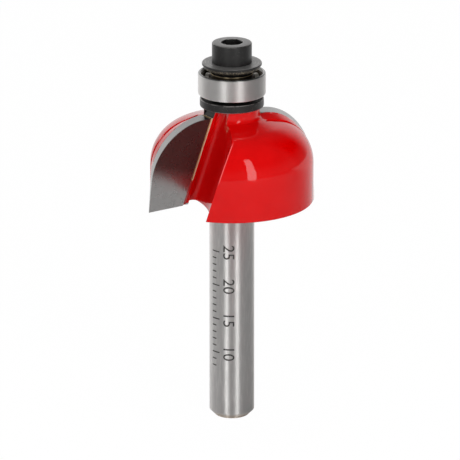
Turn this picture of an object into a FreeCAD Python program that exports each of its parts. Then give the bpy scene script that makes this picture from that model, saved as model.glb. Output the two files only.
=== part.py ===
import math
import os

import FreeCAD
import Part
import Sketcher
from FreeCAD import Placement, Rotation, Vector

# Cove router bit with two brazed carbide wings and a guide bearing.
# Millimetres, +Z up, the origin in the middle of the shank's free end.
# Wing 1 reaches toward -X and wing 2 toward +X, and the bit cuts counter-clockwise
# when seen from the bearing end.

SIZES = {
    # shank and cutting form: the cove runs from the bearing's rim out to the cutting circle
    "shank_dia": 6.35,
    "shank_length": 32.0,
    "shank_chamfer": 0.85,
    "cove_radius": 7.9375,
    "cove_rise": 4.63,
    # painted head between the wings
    "head_dia": 23.0,
    "dome_start": 4.9,
    "dome_radius": 6.74,
    "dome_end_deg": 75.0,
    "hub_dia": 7.9,
    "hub_fillet": 0.65,
    "hub_top": 13.83,
    "head_edge": 0.25,
    # wings: the rake plane lies behind the axis and leans forward as it rises
    "rake_offset": 2.3,
    "rake_slope": 0.212,
    "lean_slope": 0.223,
    "tip_inner": 6.58,
    "tip_thickness": 2.3,
    "land_thickness": 2.2,
    "wing_relief": 0.87,
    "tip_drop": 0.46,
    "tip_end_deg": 84.0,
    "land_drop": 0.36,
    "seam_width": 0.4,
    "lip_width": 0.35,
    "seat_front": 2.2,
    "braze_back": 0.06,
    # chip gullets: their cutter's way up, the groove beside the lip, the hub wall and the bulge
    "gullet_slope": 0.291,
    "gullet_lean": 0.153,
    "lip_step": 0.1,
    "groove_depth": 0.5,
    "groove_width": 1.35,
    "hub_wall_x": 5.083,
    "hub_wall_y": 0.713,
    "bulge_edge_x": 6.739,
    "bulge_edge_y": 4.2895,
    "bulge_rim_x": 11.9945,
    "bulge_rim_y": 9.9705,
    "side_overrun": 3.0,
    "top_overrun": 0.6,
    # stub, spacer, washer and screw
    "collar_dia": 9.0,
    "collar_thickness": 1.15,
    "boss_dia": 6.0,
    "collar_boss": 0.52,
    "collar_edge": 0.12,
    "washer_boss": 0.78,
    "washer_dia": 8.4,
    "washer_step": 0.2,
    "washer_lip": 0.34,
    "washer_thickness": 0.65,
    "stub_short": 0.35,
    "stub_edge": 0.25,
    "screw_dia": 3.0,
    "screw_length": 8.0,
    "screw_point": 0.4,
    "screw_foot": 0.08,
    "screw_head_dia": 5.6,
    "screw_head_height": 2.9,
    "screw_edge": 0.18,
    "hex_width": 2.8,
    "hex_depth": 1.6,
    "tap_depth": 8.5,
    "tap_taper": 0.9,
    # guide bearing
    "bearing_dia": 9.525,
    "bearing_bore": 4.7625,
    "bearing_width": 3.175,
    "ball_dia": 1.5875,
    "ball_lead_deg": 33.1,
    "track_open_deg": 45.0,
    "ring_edge": 0.2,
    "shield_step": 0.27,
    "shield_depth": 0.42,
    "cage_sheet": 0.15,
    "cage_band": 0.62,
    # clearances
    "seat_clearance": 0.01,
    "thread_clearance": 0.02,
    "washer_clearance": 0.1,
    "track_clearance": 0.03,
    "pocket_clearance": 0.05,
}
BALLS = 8

doc = FreeCAD.newDocument("cove_bit")
sheet = doc.addObject("Spreadsheet::Sheet", "dims")
for row, (alias, value) in enumerate(SIZES.items(), start=1):
    sheet.set(f"A{row}", alias)
    sheet.set(f"B{row}", str(value))
    sheet.setAlias(f"B{row}", alias)

# Lengths that several pieces share.
DERIVED = {
    "shank_r": "shank_dia / 2",
    "cut_r": "bearing_dia / 2 + cove_radius",
    "head_r": "head_dia / 2",
    "hub_r": "hub_dia / 2",
    "cove_centre_r": "cut_r - cove_radius",
    "dome_end_r": "head_r - dome_radius * (1 - cos(dome_end_deg))",
    "fillet_r": "hub_r + hub_fillet * (1 - cos(dome_end_deg))",
    "fillet_z": "dome_start + dome_radius * sin(dome_end_deg) + (dome_end_r - fillet_r) / tan(dome_end_deg)",
    "seat_lean_deg": "atan(rake_slope)",
    "seat_side_deg": "atan(lean_slope * cos(seat_lean_deg))",
    "gullet_lean_deg": "atan(gullet_slope)",
    "gullet_side_deg": "atan(gullet_lean * cos(gullet_lean_deg))",
    "tip_top": "cove_rise + cove_radius * sin(tip_end_deg)",
    "seat_x": "-tip_inner + seam_width",
    "lip_x": "-tip_inner + seam_width + lip_width",
    "bearing_base": "hub_top + collar_thickness + collar_boss",
    "bearing_mid": "bearing_base + bearing_width / 2",
    "bearing_top": "bearing_base + bearing_width",
    "washer_base": "bearing_top + washer_boss",
    "screw_base": "washer_base + washer_thickness",
    "pitch_r": "(bearing_dia + bearing_bore) / 4",
    "ball_r": "ball_dia / 2",
    "track_r": "ball_r + track_clearance",
    "track_open": "track_r * sin(track_open_deg)",
    "outer_land_r": "pitch_r + track_r * cos(track_open_deg)",
    "inner_land_r": "pitch_r - track_r * cos(track_open_deg)",
    "stub_r": "bearing_bore / 2 - seat_clearance",
}
for row, (alias, formula) in enumerate(DERIVED.items(), start=len(SIZES) + 1):
    sheet.set(f"A{row}", alias)
    sheet.set(f"B{row}", "=" + formula)
    sheet.setAlias(f"B{row}", alias)
doc.recompute()


def value(expression):
    """The plain number that an expression on the sheet gives."""
    found = sheet.evalExpression(expression)
    return float(getattr(found, "Value", found))


def bound(expression):
    """The same expression with every size name pointed at the sheet."""
    names = sorted(list(SIZES) + list(DERIVED), key=len, reverse=True)
    parts = []
    word = ""
    for letter in expression + " ":
        if letter.isalnum() or letter == "_":
            word += letter
            continue
        parts.append("dims." + word if word in names else word)
        parts.append(letter)
        word = ""
    return "".join(parts).strip()


def new_body(label, height="0", turn=0.0):
    """A body that stands on the axis at a height, turned about the axis."""
    body = doc.addObject("PartDesign::Body", label)
    body.Label = label
    body.Placement = Placement(Vector(0, 0, value(height)), Rotation(Vector(0, 0, 1), turn))
    body.setExpression("Placement.Base.z", bound(height))
    return body


def plane_sketch(body, name, role, offset=None):
    """A sketch on one of the body's own origin planes."""
    plane = [item for item in body.Origin.OriginFeatures if item.Role == role][0]
    sketch = body.newObject("Sketcher::SketchObject", name)
    sketch.AttachmentSupport = [(plane, "")]
    sketch.MapMode = "FlatFace"
    if offset:
        sketch.AttachmentOffset = offset
    return sketch


def pin_point(sketch, geometry, point, x, y):
    """Hold one point of a sketch at two expressions."""
    for kind, expression in (("DistanceX", x), ("DistanceY", y)):
        index = sketch.addConstraint(Sketcher.Constraint(kind, geometry, point, value(expression)))
        sketch.setExpression(f"Constraints[{index}]", bound(expression))


def outline(sketch, points):
    """A closed outline through (x, y) expressions; (x, y, mid_x, mid_y) arrives by an arc."""
    spots = [Vector(value(p[0]), value(p[1]), 0) for p in points]
    count = len(points)
    for i, p in enumerate(points):
        start, end = spots[i - 1], spots[i]
        if len(p) == 4:
            middle = Vector(value(p[2]), value(p[3]), 0)
            flipped = (middle - start).cross(end - middle).z < 0
            curve = Part.Arc(end, middle, start) if flipped else Part.Arc(start, middle, end)
            sketch.addGeometry(curve, False)
        else:
            flipped = False
            sketch.addGeometry(Part.LineSegment(start, end), False)
        first, last = (2, 1) if flipped else (1, 2)
        pin_point(sketch, i, last, p[0], p[1])
        if i > 0:
            sketch.addConstraint(Sketcher.Constraint("Coincident", i - 1, sketch_ends[-1], i, first))
            sketch_ends.append(last)
        else:
            sketch_ends = [last]
            opening = first
    sketch.addConstraint(Sketcher.Constraint("Coincident", count - 1, sketch_ends[-1], 0, opening))
    extra = count
    for i, p in enumerate(points):
        if len(p) == 4:
            sketch.addGeometry(Part.Point(Vector(value(p[2]), value(p[3]), 0)), True)
            pin_point(sketch, extra, 1, p[2], p[3])
            sketch.addConstraint(Sketcher.Constraint("PointOnObject", extra, 1, i))
            extra += 1


def turned(body, name, points, kind="PartDesign::Revolution"):
    """A revolution or groove of an outline in (radius, height) about the body's axis."""
    sketch = plane_sketch(body, name + "_outline", "XZ_Plane")
    outline(sketch, points)
    feature = body.newObject(kind, name)
    feature.Profile = sketch
    feature.ReferenceAxis = (sketch, ["V_Axis"])
    feature.Angle = 360.0
    body.Tip = feature
    return feature


def arc_mid(centre_x, centre_y, radius, degrees):
    """Expressions of a point on a circle."""
    return (f"{centre_x} + {radius} * cos({degrees})", f"{centre_y} + {radius} * sin({degrees})")


# Cutter body: shank, painted head, hub and bearing stub, turned from one bar
cutter = new_body("cutter_body")
head = "shank_length"
dome_mid = arc_mid("(head_r - dome_radius)", "(shank_length + dome_start)", "dome_radius", "dome_end_deg / 2")
fillet_centre_z = "(shank_length + fillet_z + hub_fillet * sin(dome_end_deg))"
fillet_mid = arc_mid("(hub_r + hub_fillet)", fillet_centre_z, "hub_fillet", "180 + dome_end_deg / 2")
turned(cutter, "blank", [
    ("0", "0"),
    ("shank_r - shank_chamfer", "0"),
    ("shank_r", "shank_chamfer"),
    ("shank_r", head),
    ("head_r - head_edge", head),
    ("head_r", head + " + head_edge"),
    ("head_r", head + " + dome_start"),
    ("dome_end_r", head + " + dome_start + dome_radius * sin(dome_end_deg)") + dome_mid,
    ("fillet_r", head + " + fillet_z"),
    ("hub_r", head + " + fillet_z + hub_fillet * sin(dome_end_deg)") + fillet_mid,
    ("hub_r", head + " + hub_top"),
    ("stub_r", head + " + hub_top"),
    ("stub_r", head + " + bearing_top - stub_short - stub_edge"),
    ("stub_r - stub_edge", head + " + bearing_top - stub_short"),
    ("0", head + " + bearing_top - stub_short"),
])


def wing_section(body, name, depth, inner):
    """One slice of a wing, in a plane parallel to the rake face and a depth behind it.

    The outer edge follows the cutting form, and behind the rake face it stands back by
    the relief. With inner set the slice ends at the carbide's inner edge, else it runs
    on into the hub.
    """
    tilt = Rotation(Vector(1, 0, 0), value("seat_lean_deg"))
    offset = Placement(Vector(0, value(head), -value(f"rake_offset + {depth}")), tilt)
    sketch = plane_sketch(body, name, "XZ_Plane", offset)
    sketch.setExpression("AttachmentOffset.Base.y", bound(head))
    sketch.setExpression("AttachmentOffset.Base.z", bound(f"-(rake_offset + {depth})"))
    sketch.setExpression("AttachmentOffset.Rotation.Angle", bound("seat_lean_deg"))
    inset = "0" if depth == "0" else "wing_relief"
    drop = "tip_drop" if inner else "land_drop"

    def at_height(x, height):
        return (x, f"({height}) / cos(seat_lean_deg)")

    def on_form(height, radius):
        plane_y = f"(rake_offset + {depth} - rake_slope * ({height}))"
        return at_height(f"-sqrt(({radius} - {inset}) ^ 2 - {plane_y} ^ 2)", height)

    def on_cove(angle):
        height = f"cove_rise + cove_radius * sin({angle})"
        return on_form(height, f"cove_centre_r + cove_radius * cos({angle})")

    low_x = "-tip_inner" if inner else "lip_x"
    high_x = "-tip_inner + lean_slope * tip_top" if inner else "-hub_r / 3"
    outline(sketch, [
        on_form("-" + drop, "cut_r"),
        on_form("cove_rise", "cut_r"),
        on_cove("tip_end_deg") + on_cove("tip_end_deg / 2"),
        at_height(high_x, "tip_top"),
        at_height(f"{low_x} - lean_slope * {drop}", "-" + drop),
    ])
    return sketch


def wing_loft(body, name, depths, inner):
    """A loft with straight rulings through wing sections at several depths."""
    sections = [wing_section(body, f"{name}_slice_{i}", d, inner) for i, d in enumerate(depths)]
    loft = body.newObject("PartDesign::AdditiveLoft", name)
    loft.Profile = sections[0]
    loft.Sections = sections[1:]
    loft.Ruled = True
    body.Tip = loft
    return loft


def half_turn_copy(body, name, feature):
    """The same feature once more, half a turn round the axis."""
    axis = [item for item in body.Origin.OriginFeatures if item.Role == "Z_Axis"][0]
    pattern = body.newObject("PartDesign::PolarPattern", name)
    pattern.Originals = [feature]
    pattern.Axis = (axis, [""])
    pattern.Angle = 360.0
    pattern.Occurrences = 2
    body.Tip = pattern
    doc.recompute()
    return pattern


def slanted(feature, length):
    """Run a pad up along the slant of the carbide's inner edge."""
    feature.Type = "Length"
    feature.UseCustomVector = True
    feature.AlongSketchNormal = True
    feature.Direction = Vector(value("lean_slope"), -value("rake_slope"), 1)
    feature.setExpression("Direction.x", bound("lean_slope"))
    feature.setExpression("Direction.y", bound("-rake_slope"))
    feature.Length = value(length)
    feature.setExpression("Length", bound(length))


# Raised lands that back the carbide
doc.recompute()
land = wing_loft(cutter, "land", ["0", "tip_thickness", "(tip_thickness + land_thickness)"], False)
doc.recompute()
half_turn_copy(cutter, "lands", land)


def tool_sketch(name, lean, side):
    """A sketch square to a milling cutter's way up along a wing, its X axis near the rake face."""
    plane = cutter.newObject("PartDesign::Plane", name + "_plane")
    ground = [item for item in cutter.Origin.OriginFeatures if item.Role == "XY_Plane"][0]
    plane.AttachmentSupport = [(ground, "")]
    plane.MapMode = "FlatFace"
    plane.AttachmentOffset = Placement(Vector(), Rotation(Vector(1, 0, 0), value(lean)))
    plane.setExpression("AttachmentOffset.Base.y", bound("rake_offset"))
    plane.setExpression("AttachmentOffset.Base.z", bound(head))
    plane.setExpression("AttachmentOffset.Rotation.Angle", bound(lean))
    sketch = cutter.newObject("Sketcher::SketchObject", name + "_outline")
    sketch.AttachmentSupport = [(plane, "")]
    sketch.MapMode = "FlatFace"
    sketch.AttachmentOffset = Placement(Vector(), Rotation(Vector(0, 1, 0), value(side)))
    sketch.setExpression("AttachmentOffset.Rotation.Angle", bound(side))
    return sketch


def milled(name, lean, side, points):
    """Mill both wings along one slant; points lie in the head's underside, as (x, y)."""
    sketch = tool_sketch(name, lean, side)

    def across(x, y):
        along = f"({x}) * cos({side}) + ({y} - rake_offset) * sin({lean}) * sin({side})"
        return (along, f"({y} - rake_offset) * cos({lean})")

    outline(sketch, [sum((across(*p[i:i + 2]) for i in range(0, len(p), 2)), ()) for p in points])
    cut = cutter.newObject("PartDesign::Pocket", name)
    cut.Profile = sketch
    cut.Type = "Length"
    cut.Midplane = True
    cut.Length = 2 * value("hub_top + top_overrun")
    cut.setExpression("Length", bound("2 * (hub_top + top_overrun)"))
    cutter.Tip = cut
    doc.recompute()
    half_turn_copy(cutter, name + "s", cut)


# Carbide seats, with the strip in front of the rake face cleared up to the lip
outside = "-cut_r - side_overrun"
milled("seat", "seat_lean_deg", "seat_side_deg", [
    (outside, "rake_offset + tip_thickness"),
    ("seat_x", "rake_offset + tip_thickness"),
    ("seat_x", "rake_offset"),
    ("lip_x", "rake_offset"),
    ("lip_x", "rake_offset - seat_front"),
    (outside, "rake_offset - seat_front"),
])

# Chip gullets: a groove beside the lip, a round wall along the hub and a flat one outside it
step = "rake_offset - lip_step"
milled("gullet", "gullet_lean_deg", "gullet_side_deg", [
    (outside, step),
    ("lip_x", step),
    ("lip_x + groove_width", step, "lip_x + groove_width / 2", "rake_offset + groove_depth"),
    ("-bulge_edge_x", "-bulge_edge_y", "-hub_wall_x", "-hub_wall_y"),
    ("-bulge_rim_x", "-bulge_rim_y"),
    (outside, "-bulge_rim_y"),
])

# Tapped bore for the screw, drilled down from the top of the stub
turned(cutter, "tapped_bore", [
    ("0", head + " + bearing_top - stub_short"),
    ("0", head + " + bearing_top - stub_short - tap_depth"),
    ("screw_dia / 2 + thread_clearance", head + " + bearing_top - stub_short - tap_depth + tap_taper"),
    ("screw_dia / 2 + thread_clearance", head + " + bearing_top - stub_short"),
], "PartDesign::Groove")

# Carbide tips and the solder that fills the corner beside each of them
pieces = [cutter]
for number, turn in ((1, 0.0), (2, 180.0)):
    tip = new_body(f"carbide_tip_{number}", "0", turn)
    wing_loft(tip, f"tip_{number}_form", ["0", "tip_thickness"], True)
    pieces.append(tip)
for number, turn in ((1, 0.0), (2, 180.0)):
    seam = new_body(f"braze_seam_{number}", "0", turn)
    start = Placement(Vector(0, 0, value("shank_length - land_drop")), Rotation())
    sketch = plane_sketch(seam, f"seam_{number}_outline", "XY_Plane", start)
    sketch.setExpression("AttachmentOffset.Base.z", bound("shank_length - land_drop"))
    outline(sketch, [
        (f"{x} - lean_slope * land_drop", f"rake_offset + {y} + rake_slope * land_drop")
        for x, y in (
            ("-tip_inner", "braze_back"),
            ("seat_x", "braze_back"),
            ("seat_x", "tip_thickness"),
            ("-tip_inner", "tip_thickness"),
        )
    ])
    fill = seam.newObject("PartDesign::Pad", f"seam_{number}_fill")
    fill.Profile = sketch
    slanted(fill, "tip_top + land_drop")
    seam.Tip = fill
    pieces.append(seam)

# Spacer collar under the bearing, with a boss that meets only the inner ring
collar = new_body("spacer_collar", "shank_length + hub_top")
turned(collar, "collar_form", [
    ("stub_r + seat_clearance", "0"),
    ("collar_dia / 2 - collar_edge", "0"),
    ("collar_dia / 2", "collar_edge"),
    ("collar_dia / 2", "collar_thickness - collar_edge"),
    ("collar_dia / 2 - collar_edge", "collar_thickness"),
    ("boss_dia / 2", "collar_thickness"),
    ("boss_dia / 2", "collar_thickness + collar_boss"),
    ("stub_r + seat_clearance", "collar_thickness + collar_boss"),
])
pieces.append(collar)

# Guide bearing: two rings, eight balls and a two-part pressed cage
half = "bearing_width / 2"
inner_ring = new_body("bearing_inner_ring", "shank_length + bearing_mid")
turned(inner_ring, "inner_form", [
    ("bearing_bore / 2", "-" + half + " + ring_edge"),
    ("bearing_bore / 2 + ring_edge", "-" + half),
    ("inner_land_r", "-" + half),
    ("inner_land_r", "-track_open"),
    ("inner_land_r", "track_open", "pitch_r - track_r", "0"),
    ("inner_land_r", half),
    ("bearing_bore / 2 + ring_edge", half),
    ("bearing_bore / 2", half + " - ring_edge"),
])
pieces.append(inner_ring)

outer_ring = new_body("bearing_outer_ring", "shank_length + bearing_mid")
rim = "bearing_dia / 2"
turned(outer_ring, "outer_form", [
    ("outer_land_r", "-" + half + " + shield_depth"),
    ("outer_land_r + shield_step", "-" + half + " + shield_depth"),
    ("outer_land_r + shield_step", "-" + half),
    (rim + " - ring_edge", "-" + half),
    (rim, "-" + half + " + ring_edge"),
    (rim, half + " - ring_edge"),
    (rim + " - ring_edge", half),
    ("outer_land_r + shield_step", half),
    ("outer_land_r + shield_step", half + " - shield_depth"),
    ("outer_land_r", half + " - shield_depth"),
    ("outer_land_r", "track_open"),
    ("outer_land_r", "-track_open", "pitch_r + track_r", "0"),
])
pieces.append(outer_ring)

for number in range(1, BALLS + 1):
    ball = doc.addObject("Part::Sphere", f"bearing_ball_{number}")
    ball.Label = f"bearing_ball_{number}"
    ball.setExpression("Radius", bound("ball_r"))
    angle = f"(ball_lead_deg + {(number - 1) * 360 / BALLS:g})"
    ball.setExpression("Placement.Base.x", bound(f"pitch_r * cos({angle})"))
    ball.setExpression("Placement.Base.y", bound(f"pitch_r * sin({angle})"))
    ball.setExpression("Placement.Base.z", bound("shank_length + bearing_mid"))
    pieces.append(ball)


def cage_half(label, side):
    """One pressed half of the cage: a narrow ribbon that arches over each ball."""
    pitch = value("pitch_r")
    inner_r = pitch - value("cage_band") / 2
    outer_r = pitch + value("cage_band") / 2
    sheet_t = value("cage_sheet")
    pocket_r = value("ball_r + pocket_clearance")
    reach = pocket_r + 2 * sheet_t
    low, flat_low = (0.0, 0.0) if side > 0 else (-reach, -sheet_t)
    wall = Part.makeCylinder(outer_r, reach, Vector(0, 0, low))
    wall = wall.cut(Part.makeCylinder(inner_r, reach, Vector(0, 0, low)))
    form = Part.makeCylinder(outer_r, sheet_t, Vector(0, 0, flat_low))
    hollows = []
    for i in range(BALLS):
        angle = math.radians(value("ball_lead_deg") + 360 * i / BALLS)
        outward = Vector(math.cos(angle), math.sin(angle), 0)
        form = form.fuse(Part.makeCylinder(pocket_r + sheet_t, pitch, outward * (pitch / 2), outward))
        hollows.append(Part.makeCylinder(pocket_r, pitch, outward * (pitch / 2), outward))
    feature = doc.addObject("Part::Feature", label)
    feature.Label = label
    feature.Shape = form.common(wall).cut(hollows).Solids[0]
    feature.Placement = Placement(Vector(0, 0, value("shank_length + bearing_mid")), Rotation())
    return feature


pieces.append(cage_half("cage_half_upper", 1))
pieces.append(cage_half("cage_half_lower", -1))

# Stepped washer that clamps the inner ring
washer = new_body("retaining_washer", "shank_length + bearing_top")
turned(washer, "washer_form", [
    ("screw_dia / 2 + washer_clearance", "0"),
    ("boss_dia / 2", "0"),
    ("boss_dia / 2", "washer_boss - washer_step"),
    ("washer_dia / 2 - 2 * washer_step", "washer_boss - washer_step"),
    ("washer_dia / 2 - washer_step", "washer_boss"),
    ("washer_dia / 2 - washer_step", "washer_boss + washer_thickness - washer_lip"),
    ("washer_dia / 2", "washer_boss + washer_thickness - washer_lip"),
    ("washer_dia / 2", "washer_boss + washer_thickness - washer_step / 2"),
    ("washer_dia / 2 - washer_step / 2", "washer_boss + washer_thickness"),
    ("screw_dia / 2 + washer_clearance", "washer_boss + washer_thickness"),
])
pieces.append(washer)

# Socket-head screw, its hexagon pocketed into a turned head
screw = new_body("cap_screw", "shank_length + screw_base")
screw_r = "screw_head_dia / 2"
turned(screw, "screw_form", [
    ("0", "-screw_length"),
    ("screw_dia / 2 - screw_point", "-screw_length"),
    ("screw_dia / 2", "-screw_length + screw_point"),
    ("screw_dia / 2", "0"),
    (screw_r + " - screw_foot", "0"),
    (screw_r, "screw_foot"),
    (screw_r, "screw_head_height - screw_edge"),
    (screw_r + " - screw_edge", "screw_head_height"),
    ("0", "screw_head_height"),
])
doc.recompute()
hex_top = Placement(Vector(0, 0, value("screw_head_height")), Rotation())
hex_sketch = plane_sketch(screw, "hex_outline", "XY_Plane", hex_top)
hex_sketch.setExpression("AttachmentOffset.Base.z", bound("screw_head_height"))
corner = "hex_width / 2 / cos(30)"
outline(hex_sketch, [
    (f"{corner} * cos({60 * i - 30})", f"{corner} * sin({60 * i - 30})") for i in range(6)
])
socket = screw.newObject("PartDesign::Pocket", "hex_socket")
socket.Profile = hex_sketch
socket.Type = "Length"
socket.setExpression("Length", bound("hex_depth"))
screw.Tip = socket
pieces.append(screw)

doc.recompute()
for item in doc.Objects:
    if "Invalid" in item.State or "Error" in item.State:
        raise RuntimeError(f"{item.Name} did not build: {item.State}")

os.makedirs("parts", exist_ok=True)
for piece in pieces:
    shape = piece.Shape
    if shape.isNull() or not shape.isValid() or len(shape.Solids) != 1:
        raise RuntimeError(f"{piece.Label} is not one valid solid")
    shape.exportStep(f"parts/{piece.Label}.step")
    box = shape.BoundBox
    print(f"{piece.Label}: {shape.Volume:.3f} mm3, z {box.ZMin:.2f} to {box.ZMax:.2f}")
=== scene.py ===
# %% [markdown]
# # A cove router bit
# The cutter stands on its shank with the guide bearing on top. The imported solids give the
# frame that every piece is fitted to, and this first cell loads them. All the shapes below
# are worked out in millimetres and brought to metres once they are finished.

# %% Load the frame
import math

import bmesh
import bpy
from mathutils import Matrix, Vector


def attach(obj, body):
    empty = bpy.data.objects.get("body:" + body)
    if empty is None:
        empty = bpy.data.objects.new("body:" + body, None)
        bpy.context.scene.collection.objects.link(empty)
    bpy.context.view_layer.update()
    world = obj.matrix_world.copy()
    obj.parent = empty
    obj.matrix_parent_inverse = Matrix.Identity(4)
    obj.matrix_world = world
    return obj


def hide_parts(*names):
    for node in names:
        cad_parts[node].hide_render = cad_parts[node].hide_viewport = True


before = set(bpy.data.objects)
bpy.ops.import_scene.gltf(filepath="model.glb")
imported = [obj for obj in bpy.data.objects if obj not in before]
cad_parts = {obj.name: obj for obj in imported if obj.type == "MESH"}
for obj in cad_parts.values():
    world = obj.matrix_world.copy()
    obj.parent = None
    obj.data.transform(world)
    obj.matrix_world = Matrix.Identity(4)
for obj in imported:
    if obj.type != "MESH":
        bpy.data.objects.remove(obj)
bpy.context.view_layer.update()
MM = 0.001

# %% [markdown]
# The sizes are those of the solids: the turned blank, the wings with their rake plane, the
# gullets, and the stack of spacer, bearing, washer and screw. Only two groups follow the
# photograph more closely than the solids do: the circle of the dome, and how the wings'
# lands sink into the head. Heights on the head count from its underside, which is where
# the shank ends.

# %% Sizes
# shank, head and hub
HEAD = 32.0
SHANK_R = 3.175
SHANK_CHAMFER = 0.85
HEAD_R = 11.5
DOME_START, DOME_R, DOME_END = 5.5, 6.1, math.radians(75)
HUB_R, HUB_FILLET, HUB_TOP = 3.95, 0.65, 13.83
STUB_R, STUB_SHORT, STUB_EDGE = 2.37125, 0.35, 0.25
# cutting form: the cove from the bearing's rim out to the cutting circle
CUT_R = 12.7
COVE_R, COVE_RISE, COVE_END = 7.9375, 4.63, math.radians(84)
COVE_TOP = COVE_RISE + COVE_R * math.sin(COVE_END)
# wings: the rake plane lies behind the axis and leans forward as it rises
RAKE_OFFSET, RAKE_SLOPE, LEAN = 2.3, 0.212, 0.223
TIP_INNER, TIP_THICKNESS, TIP_DROP = 6.58, 2.3, 0.46
LAND_THICKNESS, LAND_DROP, LAND_SINK, RELIEF = 1.9, 0.36, 0.12, 0.87
CREASE_DEPTH, CREASE_R, CREASE_LIFT = 3.95, 0.42, 0.24
# seat, lip and gullet
SEAT_X = -TIP_INNER + 0.4
LIP_X = SEAT_X + 0.35
SEAT_FRONT, BRAZE_BACK = 2.2, 0.06
GULLET_SLOPE, GULLET_LEAN = 0.291, 0.153
CHANNEL_WIDTH, CHANNEL_DEPTH, LIP_STEP = 1.35, 0.5, 0.1
# spacer collar and guide bearing
COLLAR_R, BOSS_R = 4.5, 3.0
COLLAR_BASE = HEAD + HUB_TOP
COLLAR_STEP, COLLAR_HEIGHT = 1.15, 1.67
BEARING_R, BORE_R = 9.525 / 2, 4.7625 / 2
BEARING_WIDTH = 3.175
BEARING_BASE = COLLAR_BASE + COLLAR_HEIGHT
BEARING_MID = BEARING_BASE + BEARING_WIDTH / 2
BEARING_TOP = BEARING_BASE + BEARING_WIDTH
PITCH_R = (BEARING_R + BORE_R) / 2
BALL_R = 1.5875 / 2
BALL_LEAD = 33.1
BALLS = 8
TRACK_GAP = 0.03
SHIELD_STEP, SHIELD_DEPTH = 0.27, 0.42
# washer and cap screw
WASHER_R, WASHER_BORE, WASHER_HEIGHT = 4.2, 1.6, 1.43
WASHER_TOP = BEARING_TOP + WASHER_HEIGHT
SCREW_R, SCREW_LENGTH, SCREW_POINT = 1.5, 8.0, 0.4
SCREW_HEAD_R, SCREW_HEIGHT = 2.8, 2.9
SCREW_TOP = WASHER_TOP + SCREW_HEIGHT
HEX_HALF, HEX_FLOOR = 1.4, 1.3
print("screw top at", round(SCREW_TOP, 3), "mm")

# %% [markdown]
# ## Shape helpers
# A path is a list of (x, y) points. A corner written as (x, y, radius) is rounded, and an
# arc may also be drawn through three points. A lathe turns a path of (radius, height)
# round the axis, and a prism runs an outline up along a slant.

# %% Paths
def rounded(corners, steps=5, closed=False):
    """The path through the corners, each one with a radius rounded by an arc."""
    path = []
    count = len(corners)
    for i, corner in enumerate(corners):
        here = Vector(corner[:2])
        if len(corner) < 3 or (not closed and i in (0, count - 1)):
            path.append(tuple(here))
            continue
        before = (Vector(corners[i - 1][:2]) - here).normalized()
        after = (Vector(corners[(i + 1) % count][:2]) - here).normalized()
        half = before.angle(after) / 2
        reach = corner[2] / math.tan(half)
        centre = here + (before + after).normalized() * (corner[2] / math.sin(half))
        start = here + before * reach - centre
        turn = start.angle_signed(here + after * reach - centre)
        for k in range(steps + 1):
            path.append(tuple(centre + Matrix.Rotation(-turn * k / steps, 2) @ start))
    return path


def arc(centre_x, centre_y, radius, first, last, steps):
    """Points along a circle between two angles in radians."""
    angles = [first + (last - first) * k / steps for k in range(steps + 1)]
    return [(centre_x + radius * math.cos(a), centre_y + radius * math.sin(a)) for a in angles]


def arc_through(a, b, c, steps):
    """Points of the arc from a through b to c, without a itself."""
    a, b, c = Vector(a), Vector(b), Vector(c)
    ab, ac = b - a, c - a
    cross = 2 * (ab.x * ac.y - ab.y * ac.x)
    centre = a + Vector((
        ac.y * ab.length_squared - ab.y * ac.length_squared,
        ab.x * ac.length_squared - ac.x * ab.length_squared,
    )) / cross
    start = a - centre
    turn = start.angle_signed(c - centre)
    to_b = start.angle_signed(b - centre)
    if to_b * turn < 0 or abs(to_b) > abs(turn):
        turn -= math.copysign(2 * math.pi, turn)
    return [tuple(centre + Matrix.Rotation(-turn * k / steps, 2) @ start) for k in range(1, steps + 1)]


# %% Solids from paths
def new_piece(name, verts, faces):
    """A mesh object from points in millimetres, its faces turned outward."""
    mesh = bpy.data.meshes.new(name)
    mesh.from_pydata([tuple(v) for v in verts], [], faces)
    work = bmesh.new()
    work.from_mesh(mesh)
    bmesh.ops.remove_doubles(work, verts=work.verts, dist=1e-5)
    bmesh.ops.recalc_face_normals(work, faces=work.faces)
    work.to_mesh(mesh)
    work.free()
    piece = bpy.data.objects.new(name, mesh)
    bpy.context.collection.objects.link(piece)
    return piece


def lathe(name, path, turns=160, closed=False):
    """A path of (radius, height) turned about Z. An open path starts and ends on the axis."""
    count = len(path)
    verts, faces = [], []
    for k in range(turns):
        a = 2 * math.pi * k / turns
        verts += [(r * math.cos(a), r * math.sin(a), z) for r, z in path]
    for k in range(turns):
        here, there = k * count, (k + 1) % turns * count
        for i in range(count if closed else count - 1):
            j = (i + 1) % count
            ring = [here + i, there + i, there + j, here + j]
            if path[i][0] < 1e-9:
                ring.pop(1)
            elif path[j][0] < 1e-9:
                ring.pop(2)
            faces.append(ring)
    return new_piece(name, verts, faces)


def loft(name, sections):
    """A closed solid through sections that have the same number of points."""
    count = len(sections[0])
    verts = [v for section in sections for v in section]
    faces = [list(range(count)), list(range(len(verts) - count, len(verts)))]
    for s in range(len(sections) - 1):
        for i in range(count):
            j = (i + 1) % count
            faces.append([s * count + i, s * count + j, (s + 1) * count + j, (s + 1) * count + i])
    return new_piece(name, verts, faces)


def prism(name, outline, slope, lean, low, high):
    """An outline of the head's underside run up along a slant, between two heights."""
    return loft(name, [
        [(x + lean * h, y - slope * h, HEAD + h) for x, y in outline] for h in (low, high)
    ])


def half_turned(piece, name):
    """The same piece on the other side of the axis."""
    mesh = piece.data.copy()
    mesh.transform(Matrix.Rotation(math.pi, 4, "Z"))
    twin = bpy.data.objects.new(name, mesh)
    bpy.context.collection.objects.link(twin)
    return twin


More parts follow.
